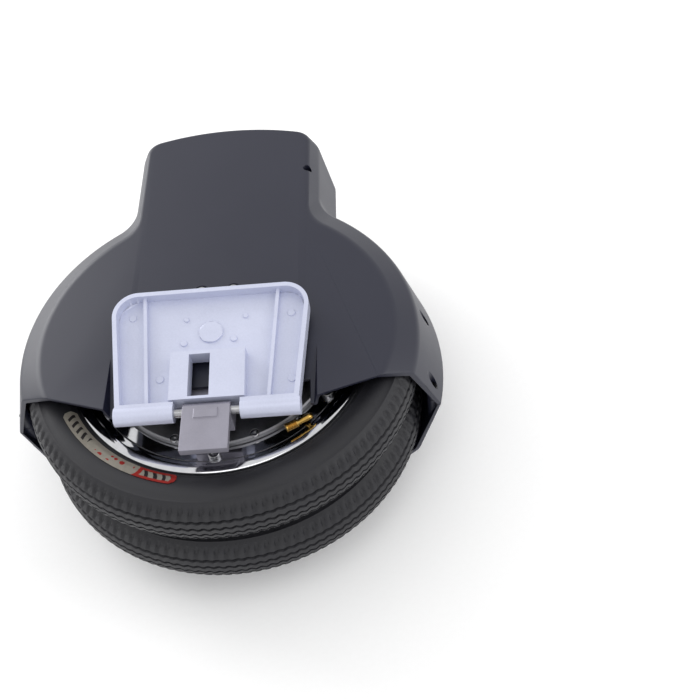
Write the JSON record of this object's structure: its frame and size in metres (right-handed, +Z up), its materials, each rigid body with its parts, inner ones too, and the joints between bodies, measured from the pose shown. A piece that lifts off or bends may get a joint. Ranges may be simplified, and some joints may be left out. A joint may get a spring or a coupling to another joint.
{
  "type": "electric unicycle",
  "caption": "Twin-tyre self-balancing electric unicycle lying on its side, with folding pedals, hub motor, two-part housing and top carry handle.",
  "frame": {"origin": "middle of the underside of the box round the unicycle as it lies on its side with both pedals folded", "axes": "+Z up along the wheel's axle, +Y from the ground side of the wheel towards the carry handle, +X towards one end of the wheel"},
  "size_m": [0.3978, 0.453, 0.2087],
  "materials": {
    "housing": "moulded matte black plastic",
    "inner_plastic": "moulded black plastic",
    "black_rubber": "moulded soft rubber",
    "button": "satin plastic cap",
    "lights": "translucent green lens",
    "screw_steel": "blackened steel screws",
    "bright_steel": "zinc plated steel",
    "forged": "satin grey metal plate",
    "cast_silver": "die cast pedal, silver paint",
    "tread_rubber": "ribbed rubber tread",
    "motor_cast": "cast aluminium, turned faces",
    "chrome_rim": "polished chrome plate",
    "tyre": "black tyre rubber",
    "tube_rubber": "butyl inner tube",
    "brass": "turned brass",
    "cells": "shrink wrapped battery cells",
    "circuit": "green circuit board with parts",
    "heat_sink": "extruded aluminium",
    "cable": "black cable jacket",
    "magnet": "nickel plated magnets in a steel ring",
    "laminations": "stacked electrical steel",
    "copper": "enamelled copper wire"
  },
  "bodies": {
    "chassis": {"upper_cover": "housing", "lower_cover": "housing", "handle_well": "inner_plastic", "wheel_arch": "inner_plastic", "carry_handle": "black_rubber", "cover_screws": "screw_steel", "hub_screws": "bright_steel", "button_switch": "inner_plastic", "charge_socket": "inner_plastic", "level_lights": "lights", "battery_cells": "cells", "battery_holders": "inner_plastic", "heat_sink": "heat_sink", "controller_board": "circuit", "motor_cable": "cable", "axle": "bright_steel", "axle_nuts": "bright_steel", "axle_washers": "bright_steel", "upper_hanger": "forged", "lower_hanger": "forged", "upper_hinge_pin": "bright_steel", "lower_hinge_pin": "bright_steel", "stator_core": "laminations", "stator_spider": "motor_cast", "stator_coils": "copper", "bearing_inner_rings": "bright_steel"},
    "wheel": {"motor_drum": "motor_cast", "upper_motor_cover": "motor_cast", "lower_motor_cover": "motor_cast", "motor_cover_screws": "bright_steel", "magnet_ring": "magnet", "bearing_outer_rings": "bright_steel", "bearing_balls": "bright_steel", "upper_rim": "chrome_rim", "lower_rim": "chrome_rim", "rim_bolts": "bright_steel", "upper_tyre": "tyre", "lower_tyre": "tyre", "upper_inner_tube": "tube_rubber", "lower_inner_tube": "tube_rubber", "upper_valve": "brass", "lower_valve": "brass", "lower_valve_cap": "black_rubber"},
    "upper_pedal": {"upper_pedal": "cast_silver", "upper_pedal_pad": "tread_rubber"},
    "lower_pedal": {"lower_pedal": "cast_silver", "lower_pedal_pad": "tread_rubber"},
    "power_button": {"power_button": "button"},
    "charge_cap": {"charge_cap": "black_rubber"}
  },
  "joints": [
    {"name": "wheel_spin", "type": "hinge", "parent": "chassis", "child": "wheel", "pos_m": [0, -0.049, 0.10435], "axis": [0, 0, 1], "continuous": true},
    {"name": "upper_pedal_hinge", "type": "hinge", "parent": "chassis", "child": "upper_pedal", "pos_m": [0, -0.14, 0.18535], "axis": [1, 0, 0], "range_deg": [0, 82]},
    {"name": "lower_pedal_hinge", "type": "hinge", "parent": "chassis", "child": "lower_pedal", "pos_m": [0, -0.14, 0.02335], "axis": [-1, 0, 0], "range_deg": [0, 82]},
    {"name": "power_button_press", "type": "slide", "parent": "chassis", "child": "power_button", "axis": [0, -1, 0], "range_m": [0, 0.0015], "stiffness_N_per_m": 800, "springref_m": -0.0005},
    {"name": "charge_cap_hinge", "type": "hinge", "parent": "chassis", "child": "charge_cap", "pos_m": [0.045, 0.21747, 0.13875], "axis": [-1, 0, 0], "range_deg": [0, 100]}
  ]
}
